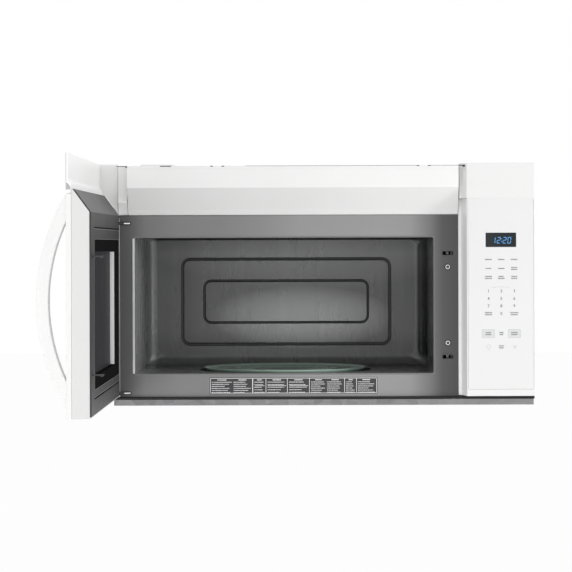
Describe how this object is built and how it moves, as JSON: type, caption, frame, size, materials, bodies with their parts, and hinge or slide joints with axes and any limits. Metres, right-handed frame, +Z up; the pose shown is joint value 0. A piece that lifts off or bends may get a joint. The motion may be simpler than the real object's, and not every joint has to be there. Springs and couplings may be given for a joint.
{
  "type": "over the range microwave",
  "caption": "White over-the-range microwave oven with its left-hinged door open: bow handle, grey face frame, dark cavity with glass turntable, control column and top vent.",
  "frame": {"origin": "centre of the wall face of the rear panel, half way up the unit", "axes": "+X to the viewer's right, +Y from the room into the wall, +Z up"},
  "size_m": [0.8347, 1.004, 0.435],
  "materials": {
    "white_paint": "smooth semi-gloss white enamel on pressed steel",
    "white_plastic": "fine satin-gloss white moulding",
    "panel_film": "flat white membrane film with grey printing",
    "grey_paint": "satin mid-grey enamel",
    "cavity_paint": "satin dark grey enamel",
    "black_gloss": "glossy black moulding",
    "black_plastic": "fine matt black moulding",
    "natural_plastic": "natural off-white moulding",
    "galvanised": "galvanised sheet steel with faint spangle",
    "hinge_steel": "zinc plated pressed steel",
    "screw_steel": "bright plated steel",
    "screen_steel": "black painted perforated steel",
    "dark_glass": "dark printed glass, very glossy",
    "tray_glass": "pressed clear glass with a faint green tint",
    "display_lens": "smoked glossy display lens",
    "lamp_glass": "frosted clear",
    "circuit_board": "green coated circuit board",
    "mica": "pressed mica sheet",
    "charcoal": "black activated charcoal pad in a frame",
    "filter_mesh": "layered expanded aluminium mesh",
    "aluminium_fins": "plain pressed aluminium",
    "laminations": "varnished steel laminations with copper windings"
  },
  "bodies": {
    "body": {"rear_panel": "galvanised", "outer_case": "white_paint", "base_plate": "galvanised", "bottom_trim": "black_gloss", "face_frame": "grey_paint", "cavity_liner": "cavity_paint", "top_deck": "galvanised", "vent_housing": "white_plastic", "charcoal_filter": "charcoal", "control_frame": "white_plastic", "control_top_trim": "white_plastic", "touch_panel": "panel_film", "display_window": "display_lens", "control_board": "circuit_board", "hinge_lower": "hinge_steel", "hinge_upper": "hinge_steel", "latch_board": "natural_plastic", "interlock_switch_upper": "black_plastic", "interlock_switch_lower": "black_plastic", "frame_screw_lower": "screw_steel", "frame_screw_upper": "screw_steel", "waveguide": "galvanised", "waveguide_cover": "mica", "magnetron": "aluminium_fins", "hv_transformer": "laminations", "hv_capacitor": "aluminium_fins", "oven_lamp": "lamp_glass", "turntable_motor": "galvanised", "fan_shroud": "galvanised", "fan_motor": "laminations", "blower_housing": "galvanised", "blower_motor": "galvanised", "duct_cover": "galvanised", "cooktop_lamp": "galvanised", "cord_bushing": "black_plastic"},
    "door": {"door_front": "white_plastic", "door_trim": "white_plastic", "door_window": "dark_glass", "door_box": "white_plastic", "inner_cover": "grey_paint", "inner_glass": "dark_glass", "door_screen": "screen_steel", "handle": "white_plastic", "handle_screw_lower": "screw_steel", "handle_screw_upper": "screw_steel", "latch_spring": "screw_steel"},
    "latch": {"latch_lever": "black_plastic"},
    "upper_plunger": {"switch_plunger_upper": "natural_plastic"},
    "lower_plunger": {"switch_plunger_lower": "natural_plastic"},
    "coupler": {"drive_coupler": "natural_plastic"},
    "tray": {"glass_tray": "tray_glass"},
    "ring": {"roller_ring": "black_plastic"},
    "wheel_1": {"roller_1": "natural_plastic"},
    "wheel_2": {"roller_2": "natural_plastic"},
    "wheel_3": {"roller_3": "natural_plastic"},
    "fan": {"fan_blade": "black_plastic"},
    "blower": {"blower_wheels": "black_plastic"},
    "left_filter": {"grease_filter_left": "filter_mesh"},
    "right_filter": {"grease_filter_right": "filter_mesh"},
    "lamp_door": {"lamp_cover": "lamp_glass"}
  },
  "joints": [
    {"name": "door_hinge", "type": "hinge", "parent": "body", "child": "door", "pos_m": [-0.3728, -0.3767, 0], "axis": [0, 0, -1], "range_deg": [-90, 5]},
    {"name": "latch_slide", "type": "slide", "parent": "door", "child": "latch", "axis": [0, 0, 1], "range_m": [0, 0.002], "stiffness_N_per_m": 400, "springref_m": -0.004, "deforming": ["latch_spring"]},
    {"name": "upper_plunger_press", "type": "slide", "parent": "body", "child": "upper_plunger", "axis": [0, 1, 0], "range_m": [0, 0.0015], "stiffness_N_per_m": 500, "springref_m": -0.001},
    {"name": "lower_plunger_press", "type": "slide", "parent": "body", "child": "lower_plunger", "axis": [0, 1, 0], "range_m": [0, 0.0015], "stiffness_N_per_m": 500, "springref_m": -0.001},
    {"name": "coupler_spin", "type": "hinge", "parent": "body", "child": "coupler", "pos_m": [-0.071, -0.2005, 0], "axis": [0, 0, 1], "continuous": true},
    {"name": "tray_lift", "type": "slide", "parent": "coupler", "child": "tray", "axis": [0, 0, 1], "range_m": [0, 0.03]},
    {"name": "ring_spin", "type": "hinge", "parent": "body", "child": "ring", "pos_m": [-0.071, -0.2005, 0], "axis": [0, 0, 1], "continuous": true},
    {"name": "wheel_1_roll", "type": "hinge", "parent": "ring", "child": "wheel_1", "pos_m": [0.039, -0.2005, -0.1697], "axis": [1, 0, 0], "continuous": true},
    {"name": "wheel_2_roll", "type": "hinge", "parent": "ring", "child": "wheel_2", "pos_m": [-0.126, -0.10524, -0.1697], "axis": [-0.5, 0.866, 0], "continuous": true},
    {"name": "wheel_3_roll", "type": "hinge", "parent": "ring", "child": "wheel_3", "pos_m": [-0.126, -0.29576, -0.1697], "axis": [-0.5, -0.866, 0], "continuous": true},
    {"name": "fan_spin", "type": "hinge", "parent": "body", "child": "fan", "pos_m": [0.28858, -0.0625, -0.0075], "axis": [0, 1, 0], "continuous": true},
    {"name": "blower_spin", "type": "hinge", "parent": "body", "child": "blower", "pos_m": [0, -0.09, 0.16335], "axis": [1, 0, 0], "continuous": true},
    {"name": "left_filter_slide", "type": "slide", "parent": "body", "child": "left_filter", "axis": [0, 1, 0], "range_m": [0, 0.012]},
    {"name": "right_filter_slide", "type": "slide", "parent": "body", "child": "right_filter", "axis": [0, 1, 0], "range_m": [0, 0.012]},
    {"name": "lamp_cover_hinge", "type": "hinge", "parent": "body", "child": "lamp_door", "pos_m": [-0.075, -0.2908, -0.2163], "axis": [1, 0, 0], "range_deg": [0, 80]}
  ],
  "couplings": [
    {"joint": "ring_spin", "follows": "coupler_spin", "ratio": 0.5},
    {"joint": "wheel_1_roll", "follows": "coupler_spin", "ratio": -10},
    {"joint": "wheel_2_roll", "follows": "coupler_spin", "ratio": -10},
    {"joint": "wheel_3_roll", "follows": "coupler_spin", "ratio": -10}
  ]
}
